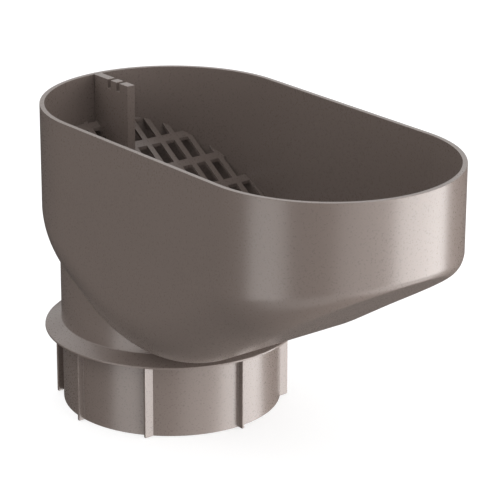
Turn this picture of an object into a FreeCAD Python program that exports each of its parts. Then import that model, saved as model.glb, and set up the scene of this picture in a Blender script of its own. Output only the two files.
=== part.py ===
"""Rainwater drain trap: an offset hopper over a drain spigot, with a lift-out leaf grate.

Frame: millimetres, +Z up. The origin is on the spigot's axis, at its lower end. The hopper
reaches out along +X, where leaves are taken out, and a downpipe enters over the spigot.
"""
import FreeCAD, Part
import math
import os
import Sketcher

V = FreeCAD.Vector
doc = FreeCAD.newDocument("DrainTrap")

# Driving dimensions: name, value, what it measures
SIZES = [
    ("hopper_radius", 60.2, "outer radius of both round ends of the hopper"),
    ("hopper_spread", 111.2, "distance between the two end centres"),
    ("hopper_height", 146.2, "rim above the spigot's lower end"),
    ("hopper_wall", 2.3, "wall of the hopper"),
    ("inlet_floor_level", 56.0, "underside below the inlet end, where it crosses the axis"),
    ("inlet_floor_slope", 29.5, "fall of that underside towards the outlet, degrees"),
    ("front_floor_level", 0.0, "underside of the front floor, where it crosses the axis"),
    ("front_floor_slope", 32.0, "rise of the front floor, degrees"),
    ("keel_radius", 86.5, "round turn between the two floors"),
    ("side_edge_radius", 27.0, "rounding of the lower edge, sides and inlet end"),
    ("front_edge_radius", 5.0, "rounding of the lower edge at the front tip"),
    ("spigot_radius", 52.0, "outer radius of the spigot"),
    ("neck_radius", 52.3, "outer radius of the neck above the collar"),
    ("outlet_radius", 50.1, "bore of spigot and neck"),
    ("collar_radius", 60.1, "outer radius of the collar"),
    ("collar_level", 36.5, "underside of the collar"),
    ("collar_edge", 1.0, "height of the collar's upright edge"),
    ("collar_rise", 3.5, "rise of its sloped top to the neck"),
    ("fin_radius", 55.0, "radius over the tips of the spigot fins"),
    ("fin_width", 1.25, "thickness of a fin"),
    ("fin_offset", 35.1, "distance of the four corner fins from the middle"),
    ("grate_level", 86.4, "top of the grate, where it crosses the axis"),
    ("grate_slope", 33.2, "fall of the grate towards the front, degrees"),
    ("grate_depth", 1.8, "upright depth of the grate's bars"),
    ("long_bar_width", 2.9, "width of the bars that run down the slope"),
    ("long_bar_pitch", 8.2, "spacing of the long bars"),
    ("cross_bar_width", 3.4, "width of the level cross bars"),
    ("cross_bar_pitch", 14.1, "spacing of the cross bars, measured level"),
    ("cross_bar_start", 1.7, "middle of the cross bar nearest the axis"),
    ("grate_clearance", 0.2, "gap between grate and hopper"),
    ("stop_width", 4.3, "thickness of the pipe stop"),
    ("stop_reach", 30.7, "distance of its front edge from the axis"),
    ("large_pipe_radius", 45.4, "middle of the outer notch, for a 90 mm pipe"),
    ("small_pipe_radius", 38.4, "middle of the inner notch, for a 75 mm pipe"),
    ("notch_width", 2.5, "width of each notch"),
    ("notch_depth", 4.4, "depth of each notch"),
]

sheet = doc.addObject("Spreadsheet::Sheet", "Sizes")
for row, (alias, value, meaning) in enumerate(SIZES, start=1):
    sheet.set(f"A{row}", meaning)
    sheet.set(f"B{row}", str(value))
    sheet.setAlias(f"B{row}", alias)
doc.recompute()

ON_FRONT_PLANE = FreeCAD.Placement(V(0, 0, 0), FreeCAD.Rotation(V(1, 0, 0), 90))
OVERCUT = 1.0


def number(formula):
    """Present value of a formula over the sheet's cells."""
    return float(sheet.evalExpression(formula))


def bind(target, links):
    """Tie properties of an object to formulas over the sheet's cells."""
    for name, formula in links.items():
        target.setExpression(name, formula)


def dimension(sketch, name, formula, kind, *elements):
    """Add a named dimension to a sketch and tie it to the sheet."""
    index = sketch.addConstraint(Sketcher.Constraint(kind, *elements, number(formula)))
    sketch.renameConstraint(index, name)
    sketch.setExpression(f"Constraints.{name}", formula)


def pin_start(sketch, edge, across, up):
    """Hold the start of a sketch line at two dimensions from the sketch's origin."""
    dimension(sketch, f"across{edge}", across, "DistanceX", -1, 1, edge, 1)
    dimension(sketch, f"up{edge}", up, "DistanceY", -1, 1, edge, 1)


def join_ends(sketch, count):
    """Join each edge of a closed outline to the next one."""
    for edge in range(count):
        sketch.addConstraint(Sketcher.Constraint("Coincident", edge, 2, (edge + 1) % count, 1))


def draw_outline(sketch, corners):
    """Closed outline of straight lines; each corner is a pair of formulas."""
    points = [V(number(across), number(up), 0) for across, up in corners]
    for start, end in zip(points, points[1:] + points[:1]):
        sketch.addGeometry(Part.LineSegment(start, end), False)
    join_ends(sketch, len(corners))
    for edge, (across, up) in enumerate(corners):
        pin_start(sketch, edge, across, up)


def stadium_sketch(name, inset):
    """Plan outline of the hopper, moved inward by the inset; the front arc is split in two."""
    radius, spread = number(f"Sizes.hopper_radius - {inset}"), number("Sizes.hopper_spread")
    sketch = doc.addObject("Sketcher::SketchObject", name)
    centre, front = V(0, 0, 0), V(spread, 0, 0)
    up, quarter = V(0, 0, 1), math.pi / 2
    sketch.addGeometry(Part.LineSegment(V(0, -radius, 0), V(spread, -radius, 0)), False)
    sketch.addGeometry(Part.ArcOfCircle(Part.Circle(front, up, radius), -quarter, 0), False)
    sketch.addGeometry(Part.ArcOfCircle(Part.Circle(front, up, radius), 0, quarter), False)
    sketch.addGeometry(Part.LineSegment(V(spread, radius, 0), V(0, radius, 0)), False)
    sketch.addGeometry(Part.ArcOfCircle(Part.Circle(centre, up, radius), quarter, 3 * quarter), False)
    for edge, following in ((0, 1), (2, 3), (3, 4), (4, 0)):
        sketch.addConstraint(Sketcher.Constraint("Tangent", edge, 2, following, 1))
    sketch.addConstraint([
        Sketcher.Constraint("Coincident", 1, 2, 2, 1),
        Sketcher.Constraint("Coincident", 1, 3, 2, 3),
        Sketcher.Constraint("Coincident", 4, 3, -1, 1),
        Sketcher.Constraint("PointOnObject", 1, 3, -1),
        Sketcher.Constraint("PointOnObject", 1, 2, -1),
        Sketcher.Constraint("Equal", 1, 4),
    ])
    dimension(sketch, "radius", f"Sizes.hopper_radius - {inset}", "Radius", 4)
    dimension(sketch, "spread", "Sizes.hopper_spread", "DistanceX", -1, 1, 1, 3)
    return sketch


def keel_sketch(name, inset):
    """Side outline of the hopper's floor: two slopes joined by a round turn."""
    reach = "2 * Sizes.hopper_radius"
    far = "Sizes.hopper_spread + 2 * Sizes.hopper_radius"
    top = "2 * Sizes.hopper_height"
    inlet, front = "Sizes.inlet_floor_slope * 1 deg", "Sizes.front_floor_slope * 1 deg"
    back_up = f"Sizes.inlet_floor_level + {inset} / cos({inlet}) + tan({inlet}) * {reach}"
    front_up = f"Sizes.front_floor_level + {inset} / cos({front}) + tan({front}) * ({far})"

    fall = math.radians(number("Sizes.inlet_floor_slope"))
    rise = math.radians(number("Sizes.front_floor_slope"))
    turn = number(f"Sizes.keel_radius - {inset}")
    back_foot = number(f"Sizes.inlet_floor_level + {inset} / cos({inlet})") + turn / math.cos(fall)
    front_foot = number(f"Sizes.front_floor_level + {inset} / cos({front})") + turn / math.cos(rise)
    middle = (back_foot - front_foot) / (math.tan(fall) + math.tan(rise))
    centre = V(middle, front_foot + math.tan(rise) * middle, 0)
    back_end = centre - V(turn * math.sin(fall), turn * math.cos(fall), 0)
    front_end = centre + V(turn * math.sin(rise), -turn * math.cos(rise), 0)
    back = V(-number(reach), number(back_up), 0)
    tip = V(number(far), number(front_up), 0)
    high_tip, high_back = V(tip.x, number(top), 0), V(back.x, number(top), 0)

    sketch = doc.addObject("Sketcher::SketchObject", name)
    circle = Part.Circle(centre, V(0, 0, 1), turn)
    sketch.addGeometry(Part.LineSegment(back, back_end), False)
    sketch.addGeometry(Part.ArcOfCircle(circle, -math.pi / 2 - fall, -math.pi / 2 + rise), False)
    for start, end in ((front_end, tip), (tip, high_tip), (high_tip, high_back), (high_back, back)):
        sketch.addGeometry(Part.LineSegment(start, end), False)
    for edge, following in ((2, 3), (3, 4), (4, 5), (5, 0)):
        sketch.addConstraint(Sketcher.Constraint("Coincident", edge, 2, following, 1))
    for edge, following in ((0, 1), (1, 2)):
        sketch.addConstraint(Sketcher.Constraint("Tangent", edge, 2, following, 1))
    pin_start(sketch, 0, f"-({reach})", back_up)
    pin_start(sketch, 3, far, front_up)
    pin_start(sketch, 4, far, top)
    pin_start(sketch, 5, f"-({reach})", top)
    dimension(sketch, "turn", f"Sizes.keel_radius - {inset}", "Radius", 1)
    dimension(sketch, "fall", f"-({inlet})", "Angle", 0)
    dimension(sketch, "rise", front, "Angle", 2)
    sketch.Placement = ON_FRONT_PLANE
    return sketch


def lower_edges(shape, radius, spread, side_radius, front_radius):
    """Edges where the wall meets the floor, each with its rounding at both ends."""
    roundings = []
    for index, edge in enumerate(shape.Edges, start=1):
        box = edge.BoundBox
        if box.ZLength < 1e-6 and box.ZMin > shape.BoundBox.ZMax - 1e-3:
            continue
        if box.XLength < 1e-3 and box.YLength < 1e-3:
            continue
        middle = edge.valueAt((edge.FirstParameter + edge.LastParameter) / 2)
        centre = min(max(middle.x, 0), spread)
        if abs(math.hypot(middle.x - centre, middle.y) - radius) > 1e-3:
            continue
        if middle.x < spread + 1e-3:
            roundings.append((index, side_radius, side_radius))
        elif middle.y < 0:
            roundings.append((index, front_radius, side_radius))
        else:
            roundings.append((index, side_radius, front_radius))
    return roundings


def hopper_form(name, inset, top):
    """Solid with the hopper's outer shape, moved inward by the inset, up to the given top."""
    plan = doc.addObject("Part::Extrusion", name + "Plan")
    plan.Base = stadium_sketch(name + "PlanOutline", inset)
    plan.DirMode, plan.Dir, plan.Solid = "Custom", V(0, 0, 1), True
    bind(plan, {"LengthFwd": top})
    keel = doc.addObject("Part::Extrusion", name + "Keel")
    keel.Base = keel_sketch(name + "KeelOutline", inset)
    keel.DirMode, keel.Dir, keel.Solid, keel.Symmetric = "Custom", V(0, 1, 0), True, True
    bind(keel, {"LengthFwd": "4 * Sizes.hopper_radius"})
    block = doc.addObject("Part::Common", name + "Block")
    block.Base, block.Tool = plan, keel
    doc.recompute()
    form = doc.addObject("Part::Fillet", name)
    form.Base = block
    radius = number(f"Sizes.hopper_radius - {inset}")
    side = number(f"Sizes.side_edge_radius - {inset}")
    front = number(f"Sizes.front_edge_radius - {inset}")
    form.Edges = lower_edges(block.Shape, radius, number("Sizes.hopper_spread"), side, front)
    doc.recompute()
    return form


def spigot_form():
    """Spigot, collar and neck as one turned solid; the neck runs up inside the hopper."""
    outline = doc.addObject("Sketcher::SketchObject", "SpigotOutline")
    edge = "Sizes.collar_level + Sizes.collar_edge"
    draw_outline(outline, [
        ("0", "0"),
        ("Sizes.spigot_radius", "0"),
        ("Sizes.spigot_radius", "Sizes.collar_level"),
        ("Sizes.collar_radius", "Sizes.collar_level"),
        ("Sizes.collar_radius", edge),
        ("Sizes.neck_radius", f"{edge} + Sizes.collar_rise"),
        ("Sizes.neck_radius", "Sizes.hopper_height"),
        ("0", "Sizes.hopper_height"),
    ])
    outline.Placement = ON_FRONT_PLANE
    spigot = doc.addObject("Part::Revolution", "Spigot")
    spigot.Source = outline
    spigot.Axis, spigot.Base, spigot.Angle, spigot.Solid = V(0, 0, 1), V(0, 0, 0), 360, True
    return spigot


def fin_pair(name, across, offset, reach):
    """Flat bar whose two ends stand out of the spigot as fins."""
    bar = doc.addObject("Part::Box", name)
    long_way, wide_way = ("Length", "Width") if across else ("Width", "Length")
    along, aside = ("x", "y") if across else ("y", "x")
    bind(bar, {
        long_way: f"2 * {reach}",
        wide_way: "Sizes.fin_width",
        "Height": "Sizes.collar_level",
        f"Placement.Base.{along}": f"-({reach})",
        f"Placement.Base.{aside}": f"{offset} - Sizes.fin_width / 2",
    })
    return bar


def hopper_body():
    """The moulding: hopper, neck, collar, spigot and its eight fins."""
    corner_reach = "sqrt(Sizes.fin_radius ^ 2 - Sizes.fin_offset ^ 2)"
    outside = doc.addObject("Part::MultiFuse", "Outside")
    outside.Shapes = [
        hopper_form("Hull", "0", "Sizes.hopper_height"),
        spigot_form(),
        fin_pair("FinsAcross", True, "0", "Sizes.fin_radius"),
        fin_pair("FinsAlong", False, "0", "Sizes.fin_radius"),
        fin_pair("FinsInlet", False, "-Sizes.fin_offset", corner_reach),
        fin_pair("FinsFront", False, "Sizes.fin_offset", corner_reach),
    ]
    bore = doc.addObject("Part::Cylinder", "Outlet")
    bind(bore, {"Radius": "Sizes.outlet_radius", "Height": f"Sizes.hopper_height + {2 * OVERCUT}"})
    bore.Placement.Base = V(0, 0, -OVERCUT)
    inside = doc.addObject("Part::MultiFuse", "Inside")
    inside.Shapes = [
        hopper_form("Cavity", "Sizes.hopper_wall", f"Sizes.hopper_height + {OVERCUT}"),
        bore,
    ]
    body = doc.addObject("Part::Cut", "HopperBody")
    body.Base, body.Tool, body.Refine = outside, inside, True
    body.Label = "hopper_body"
    return body


def grate_top(across):
    """Height of the grate's upper face at a distance from the axis."""
    return f"Sizes.grate_level - tan(Sizes.grate_slope * 1 deg) * ({across})"


def bar_outline(sketch, back, front):
    """Side outline of a stretch of the sloping grate."""
    draw_outline(sketch, [
        (back, f"{grate_top(back)} - Sizes.grate_depth"),
        (front, f"{grate_top(front)} - Sizes.grate_depth"),
        (front, grate_top(front)),
        (back, grate_top(back)),
    ])


def side_sketch(body, name):
    """Empty sketch on the body's own upright plane."""
    plane = next(item for item in body.Origin.OriginFeatures if item.Role == "XZ_Plane")
    sketch = body.newObject("Sketcher::SketchObject", name)
    sketch.AttachmentSupport = [(plane, "")]
    sketch.MapMode = "FlatFace"
    return sketch


def pad_across(body, sketch, name, width):
    """Pad a side outline equally to both sides."""
    pad = body.newObject("PartDesign::Pad", name)
    pad.Profile = sketch
    pad.SideType = "Symmetric"
    bind(pad, {"Length": width})
    sketch.Visibility = False
    return pad


def repeat(body, feature, name, direction, spacing, count, backwards):
    """Copies of a feature in one direction, added to the body."""
    pattern = body.newObject("PartDesign::LinearPattern", name)
    pattern.Originals = [feature]
    pattern.Direction = direction
    pattern.Reversed = backwards
    pattern.Occurrences = count + 1
    bind(pattern, {"Length": f"{count} * ({spacing})"})
    body.Tip = pattern
    doc.recompute()


def grate_blank():
    """Grate and pipe stop before they are trimmed to the hopper's inside.

    A bar is laid wherever its middle line falls inside the hopper.
    """
    body = doc.addObject("PartDesign::Body", "GrateBlank")
    inside = number("Sizes.hopper_radius - Sizes.hopper_wall - Sizes.grate_clearance")
    start, step = number("Sizes.cross_bar_start"), number("Sizes.cross_bar_pitch")
    downhill = int((number("Sizes.hopper_spread") - start) / step)
    uphill = int((inside + start) / step)
    first = f"Sizes.cross_bar_start + {downhill} * Sizes.cross_bar_pitch"
    half = "Sizes.cross_bar_width / 2"

    cross = side_sketch(body, "CrossBarOutline")
    bar_outline(cross, f"{first} - {half}", f"{first} + {half}")
    slope_start = V(0, number("Sizes.grate_level"), 0)
    slope_end = V(number("Sizes.hopper_radius"), number(grate_top("Sizes.hopper_radius")), 0)
    slope = cross.addGeometry(Part.LineSegment(slope_start, slope_end), True)
    pin_start(cross, slope, "0", "Sizes.grate_level")
    dimension(cross, "slope_across", "Sizes.hopper_radius", "DistanceX", -1, 1, slope, 2)
    dimension(cross, "slope_up", grate_top("Sizes.hopper_radius"), "DistanceY", -1, 1, slope, 2)
    cross_pad = pad_across(body, cross, "CrossBar", "2 * Sizes.hopper_radius")

    long = side_sketch(body, "LongBarOutline")
    bar_outline(long, "-Sizes.hopper_radius", "Sizes.hopper_spread")
    long_pad = pad_across(body, long, "LongBar", "Sizes.long_bar_width")
    doc.recompute()

    pitch = number("Sizes.long_bar_pitch")
    count = int(inside / pitch)
    sideways = next(item for item in body.Origin.OriginFeatures if item.Role == "Y_Axis")
    for name, backwards in (("LongBarsFar", False), ("LongBarsNear", True)):
        repeat(body, long_pad, name, (sideways, [""]), "Sizes.long_bar_pitch", count, backwards)

    spacing = "Sizes.cross_bar_pitch / cos(Sizes.grate_slope * 1 deg)"
    repeat(body, cross_pad, "CrossBars", (cross, ["Axis0"]), spacing, downhill + uphill, True)
    pipe_stop(body)
    return body


def notch(radius):
    """Corners of one notch in the top of the pipe stop, from front to back."""
    half, floor = "Sizes.notch_width / 2", "Sizes.hopper_height - Sizes.notch_depth"
    front, back = f"-{radius} + {half}", f"-{radius} - {half}"
    return [(front, "Sizes.hopper_height"), (front, floor), (back, floor), (back, "Sizes.hopper_height")]


def pipe_stop(body):
    """Upright plate at the inlet end; its two notches seat the end of a downpipe.

    Below the grate the plate goes on as a foot that stands on the ledge round the outlet.
    """
    foot = "-(Sizes.outlet_radius + Sizes.grate_clearance)"
    sketch = side_sketch(body, "PipeStopOutline")
    draw_outline(sketch, [
        ("-Sizes.hopper_radius", "Sizes.inlet_floor_level"),
        (foot, "Sizes.inlet_floor_level"),
        (foot, f"{grate_top(foot)} - Sizes.grate_depth"),
        ("-Sizes.stop_reach", f"{grate_top('-Sizes.stop_reach')} - Sizes.grate_depth"),
        ("-Sizes.stop_reach", "Sizes.hopper_height"),
        *notch("Sizes.small_pipe_radius"),
        *notch("Sizes.large_pipe_radius"),
        ("-Sizes.hopper_radius", "Sizes.hopper_height"),
    ])
    body.Tip = pad_across(body, sketch, "PipeStop", "Sizes.stop_width")


def leaf_grate():
    """Sloping grate with its pipe stop, cut to the inside of the hopper with a small gap."""
    room = hopper_form("GrateRoom", "(Sizes.hopper_wall + Sizes.grate_clearance)", "Sizes.hopper_height")
    grate = doc.addObject("Part::Common", "LeafGrate")
    grate.Base, grate.Tool = grate_blank(), room
    grate.Label = "leaf_grate"
    return grate


pieces = [hopper_body(), leaf_grate()]
doc.recompute()

faults = [item.Name for item in doc.Objects if {"Invalid", "Error"} & set(item.State)]
if faults:
    raise RuntimeError("not built: " + ", ".join(faults))
for piece in pieces:
    if piece.Shape.isNull() or not piece.Shape.isValid() or len(piece.Shape.Solids) != 1:
        raise RuntimeError(f"{piece.Label} is not one sound solid")

os.makedirs("parts", exist_ok=True)
for piece in pieces:
    piece.Shape.exportStep(f"parts/{piece.Label}.step")
    box = piece.Shape.BoundBox
    print(f"{piece.Label}: {piece.Shape.Volume / 1000:.2f} cm3, {len(piece.Shape.Faces)} faces, "
          f"{box.XLength:.1f} x {box.YLength:.1f} x {box.ZLength:.1f} mm")
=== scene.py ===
import math

import bpy
from mathutils import Matrix, Vector


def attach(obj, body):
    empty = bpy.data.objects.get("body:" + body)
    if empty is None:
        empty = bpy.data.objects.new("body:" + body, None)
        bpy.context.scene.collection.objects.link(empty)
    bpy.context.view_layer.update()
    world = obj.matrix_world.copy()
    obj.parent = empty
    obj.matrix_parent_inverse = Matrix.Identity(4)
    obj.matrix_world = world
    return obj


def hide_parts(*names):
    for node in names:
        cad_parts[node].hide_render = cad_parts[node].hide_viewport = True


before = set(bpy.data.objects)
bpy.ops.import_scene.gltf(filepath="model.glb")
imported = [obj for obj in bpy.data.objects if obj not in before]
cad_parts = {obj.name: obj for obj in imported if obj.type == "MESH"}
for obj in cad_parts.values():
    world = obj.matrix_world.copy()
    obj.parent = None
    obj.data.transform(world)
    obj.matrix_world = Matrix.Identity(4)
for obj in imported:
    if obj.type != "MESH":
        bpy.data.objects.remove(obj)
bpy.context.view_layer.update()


# Hopper body
# The large moulding: hopper, neck, collar, spigot and eight fins in one piece of grey-brown
# plastic. Its skin is satin and even, with a very fine metallic fleck, and the mould leaves a
# slight rounding on every edge.

EDGE_TURN = math.radians(35)
SMOOTH_TURN = math.radians(30)
EDGE_SEGMENTS = 2
BODY_WELD, BODY_EDGE_ROUND = 0.000001, 0.0003


def moulded_skin(node, name, weld, edge_round):
    """Closed copy of a CAD moulding that stands in for it, with its sharp edges rounded."""
    skin = bpy.data.objects.new(name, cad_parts[node].data.copy())
    bpy.context.scene.collection.objects.link(skin)
    bpy.ops.object.select_all(action="DESELECT")
    skin.select_set(True)
    bpy.context.view_layer.objects.active = skin
    bpy.ops.mesh.customdata_custom_splitnormals_clear()
    bpy.ops.object.mode_set(mode="EDIT")
    bpy.ops.mesh.select_all(action="SELECT")
    bpy.ops.mesh.remove_doubles(threshold=weld)
    bpy.ops.object.mode_set(mode="OBJECT")
    rounding = skin.modifiers.new("edge_rounding", "BEVEL")
    rounding.width, rounding.segments = edge_round, EDGE_SEGMENTS
    rounding.limit_method, rounding.angle_limit = "ANGLE", EDGE_TURN
    rounding.use_clamp_overlap = False
    bpy.ops.object.modifier_apply(modifier=rounding.name)
    bpy.ops.object.shade_smooth_by_angle(angle=SMOOTH_TURN)
    evening = skin.modifiers.new("even_normals", "WEIGHTED_NORMAL")
    evening.keep_sharp = True
    bpy.ops.object.modifier_apply(modifier=evening.name)
    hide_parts(node)
    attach(skin, "root")
    return skin


class Socket:
    """An output socket that takes part in arithmetic; each operation adds a Math node."""

    def __init__(self, tree, output):
        self.tree, self.output = tree, output

    def _join(self, operation, first, second):
        node = self.tree.nodes.new("ShaderNodeMath")
        node.operation = operation
        for socket, value in zip(node.inputs, (first, second)):
            if isinstance(value, Socket):
                self.tree.links.new(value.output, socket)
            else:
                socket.default_value = value
        return Socket(self.tree, node.outputs[0])

    def __add__(self, other):
        return self._join("ADD", self, other)

    def __radd__(self, other):
        return self._join("ADD", other, self)

    def __mul__(self, other):
        return self._join("MULTIPLY", self, other)

    def __rmul__(self, other):
        return self._join("MULTIPLY", other, self)


class Nodes:
    """The node tree of a material or world, and the one call that adds nodes to it."""

    def __init__(self, owner):
        owner.use_nodes = True
        self.tree = owner.node_tree
        self.tree.nodes.clear()

    def add(self, kind, settings=(), output=0, inputs=()):
        """Add a node, set it up, feed its sockets by name or number, and give back an output."""
        node = self.tree.nodes.new(kind)
        for name, value in dict(settings).items():
            setattr(node, name, value)
        for key, value in dict(inputs).items():
            if isinstance(value, Socket):
                self.tree.links.new(value.output, node.inputs[key])
            else:
                node.inputs[key].default_value = value
        return Socket(self.tree, node.outputs[output]) if node.outputs else None


TAUPE = (0.150, 0.120, 0.106)
DARKEST, LIGHTEST = 0.92, 1.08
CLOUD_SCALE, FLECK_SCALE, GRAIN_SCALE = 24.0, 1200.0, 900.0
FLECK_LOW, FLECK_HIGH = 0.3, 0.7
CLOUD_TONE, FLECK_TONE = 0.3, 0.7
SATIN, CLOUD_ROUGHNESS, FLECK_ROUGHNESS = 0.25, 0.03, 0.05
FLECK_METAL = 0.15
GRAIN_STRENGTH, GRAIN_DEPTH = 0.3, 0.00001
MIX_FACTOR, MIX_FIRST, MIX_SECOND, MIX_COLOUR = 0, 6, 7, 2


def shade(colour, factor):
    """Colour made lighter or darker, with full alpha."""
    return (*(part * factor for part in colour), 1.0)


def satin_plastic(name, colour, start):
    """Satin plastic with a metallic fleck; start moves its pattern, so no two pieces share it."""
    material = bpy.data.materials.new(name)
    nodes = Nodes(material)
    place = nodes.add("ShaderNodeMapping", inputs={
        "Vector": nodes.add("ShaderNodeTexCoord", output="Object"), "Location": start})

    def noise(scale, detail):
        return nodes.add("ShaderNodeTexNoise", inputs={
            "Vector": place, "Scale": scale, "Detail": detail, "Roughness": 0.5})

    clouds = noise(CLOUD_SCALE, 3.0)
    fleck = nodes.add("ShaderNodeMapRange", inputs={
        "Value": noise(FLECK_SCALE, 1.0), "From Min": FLECK_LOW, "From Max": FLECK_HIGH})
    tone = nodes.add("ShaderNodeMix", {"data_type": "RGBA"}, output=MIX_COLOUR, inputs={
        MIX_FACTOR: clouds * CLOUD_TONE + fleck * FLECK_TONE,
        MIX_FIRST: shade(colour, DARKEST), MIX_SECOND: shade(colour, LIGHTEST)})
    relief = nodes.add("ShaderNodeBump", inputs={
        "Height": noise(GRAIN_SCALE, 2.0), "Strength": GRAIN_STRENGTH, "Distance": GRAIN_DEPTH})
    shader = nodes.add("ShaderNodeBsdfPrincipled", inputs={
        "Base Color": tone, "Metallic": fleck * FLECK_METAL, "Normal": relief,
        "Roughness": SATIN + clouds * CLOUD_ROUGHNESS + fleck * FLECK_ROUGHNESS})
    nodes.add("ShaderNodeOutputMaterial", inputs={"Surface": shader})
    return material


hopper = moulded_skin("hopper_body", "hopper_moulding", BODY_WELD, BODY_EDGE_ROUND)
hopper.data.materials.clear()
hopper.data.materials.append(satin_plastic("hopper_plastic", TAUPE, (0.0, 0.0, 0.0)))


# Leaf grate
# A loose moulding of the same plastic that lies at a slope in the hopper: a lattice of long and
# cross bars, with an upright pipe stop whose two notches take the end of a downpipe.

GRATE_WELD, GRATE_EDGE_ROUND = 0.00003, 0.00025
GRATE_PATTERN = (0.31, 0.17, 0.23)

grate = moulded_skin("leaf_grate", "leaf_grate_moulding", GRATE_WELD, GRATE_EDGE_ROUND)
grate.data.materials.clear()
grate.data.materials.append(satin_plastic("grate_plastic", TAUPE, GRATE_PATTERN))


# Floor
# A white sheet that runs out of the picture and keeps the part's soft shadow. Only the camera
# sees it, and only from above, so the part is lit from below as well.

FLOOR_SIZE = 6.0
FLOOR_DROP = 0.0002
PAPER, PAPER_GLOW = 0.4, 0.68

bpy.ops.object.select_all(action="DESELECT")
bpy.ops.mesh.primitive_plane_add(size=FLOOR_SIZE, location=(0, 0, -FLOOR_DROP))
floor = bpy.context.object
floor.name = "studio_floor"
floor.visible_diffuse = floor.visible_glossy = floor.visible_shadow = False
paper = bpy.data.materials.new("white_paper")
nodes = Nodes(paper)
matt = nodes.add("ShaderNodeBsdfDiffuse", inputs={"Color": (PAPER, PAPER, PAPER, 1.0)})
glow = nodes.add("ShaderNodeEmission", inputs={"Strength": PAPER_GLOW})
lit = nodes.add("ShaderNodeAddShader", inputs={0: matt, 1: glow})
one_sided = nodes.add("ShaderNodeMixShader", inputs={
    0: nodes.add("ShaderNodeNewGeometry", output="Backfacing"), 1: lit,
    2: nodes.add("ShaderNodeBsdfTransparent")})
nodes.add("ShaderNodeOutputMaterial", inputs={"Surface": one_sided})
floor.data.materials.append(paper)


# Studio light
# A white dome above the horizon and flat panels round the part. Each panel fills a stretch of
# azimuth and elevation, in degrees; azimuth 0 is -Y and 90 is +X.

WHITE = (1.0, 1.0, 1.0, 1.0)
DOME_LIGHT, BELOW_LIGHT = 0.80, 0.05
HORIZON = 0.05

room = bpy.data.worlds.new("white_room")
bpy.context.scene.world = room
nodes = Nodes(room)
height = nodes.add("ShaderNodeSeparateXYZ", output="Z", inputs={
    0: nodes.add("ShaderNodeTexCoord", output="Generated")})
dome = nodes.add("ShaderNodeMapRange", inputs={
    "Value": height, "From Min": -HORIZON, "From Max": HORIZON,
    "To Min": BELOW_LIGHT, "To Max": DOME_LIGHT})
around = nodes.add("ShaderNodeMixShader", inputs={
    0: nodes.add("ShaderNodeLightPath", output="Is Camera Ray"),
    1: nodes.add("ShaderNodeBackground", inputs={"Color": WHITE, "Strength": dome}),
    2: nodes.add("ShaderNodeBackground", inputs={"Color": WHITE, "Strength": 1.0})})
nodes.add("ShaderNodeOutputWorld", inputs={"Surface": around})

LIGHT_AIM = Vector((0.07, 0.0, 0.08))
PANEL_DISTANCE = 1.2
UNDER, LOW, LEVEL, HIGH = (-60, -32), (-32, -6), (-6, 25), (25, 60)


def away_from(azimuth, elevation):
    """Unit vector that points from the part to an azimuth and elevation in degrees."""
    turn, lift = math.radians(azimuth), math.radians(elevation)
    level = math.cos(lift)
    return Vector((math.sin(turn) * level, -math.cos(turn) * level, math.sin(lift)))


def half_span(stretch):
    """Half the width that a stretch of degrees takes up at unit distance."""
    return math.tan(math.radians(stretch[1] - stretch[0]) / 2)


def panel(name, azimuths, elevations, radiance):
    """Flat panel that fills a stretch of azimuth and elevation and glows at one radiance."""
    azimuth, elevation = sum(azimuths) / 2, sum(elevations) / 2
    away = away_from(azimuth, elevation)
    half_width = half_span(azimuths) * math.cos(math.radians(elevation))
    lamp = bpy.data.lights.new(name, "AREA")
    lamp.shape = "RECTANGLE"
    lamp.size = 2 * PANEL_DISTANCE * half_width
    lamp.size_y = 2 * PANEL_DISTANCE * half_span(elevations)
    lamp.energy = radiance * math.pi * lamp.size * lamp.size_y
    holder = bpy.data.objects.new(name, lamp)
    bpy.context.scene.collection.objects.link(holder)
    holder.location = LIGHT_AIM + away * PANEL_DISTANCE
    holder.rotation_mode = "QUATERNION"
    holder.rotation_quaternion = (-away).to_track_quat("-Z", "Y")
    holder.visible_camera = False


panel("side_strip", (-12, 20), LOW, 3.0)
panel("front_fill", (60, 106), LOW, 1.5)
panel("front_strip", (106, 160), LOW, 7.5)
panel("side_under", (0, 90), UNDER, 1.0)
panel("front_under", (90, 175), UNDER, 2.5)
panel("front_level", (75, 155), LEVEL, 3.0)
panel("side_high", (-30, 30), HIGH, 1.5)
panel("back_high", (150, 240), HIGH, 0.8)
panel("left_high", (240, 330), HIGH, 0.8)


# Camera
# It stands at the photograph's angle and distance, fitted to the rim, collar and spigot.

CAMERA_AZIMUTH, CAMERA_ELEVATION, CAMERA_ROLL = 51.311, 19.912, 0.221
CAMERA_TARGET = Vector((0.040, 0.012009, 0.081417))
CAMERA_DISTANCE, CAMERA_LENS, CAMERA_SHIFT = 1.106263, 172.69, 0.0118
SENSOR_WIDTH = 36.0
CLIP_NEAR, CLIP_FAR = 0.05, 20.0

back = away_from(CAMERA_AZIMUTH, CAMERA_ELEVATION)
right = away_from(CAMERA_AZIMUTH + 90, 0)
view = bpy.data.cameras.new("photo_camera")
view.sensor_width, view.lens, view.shift_x = SENSOR_WIDTH, CAMERA_LENS, CAMERA_SHIFT
view.clip_start, view.clip_end = CLIP_NEAR, CLIP_FAR
camera = bpy.data.objects.new("photo_camera", view)
bpy.context.scene.collection.objects.link(camera)
facing = Matrix((right, back.cross(right), back)).transposed().to_4x4()
roll = Matrix.Rotation(math.radians(CAMERA_ROLL), 4, "Z")
camera.matrix_world = Matrix.Translation(CAMERA_TARGET + back * CAMERA_DISTANCE) @ facing @ roll
bpy.context.scene.camera = camera
bpy.context.scene.view_settings.view_transform = "Standard"
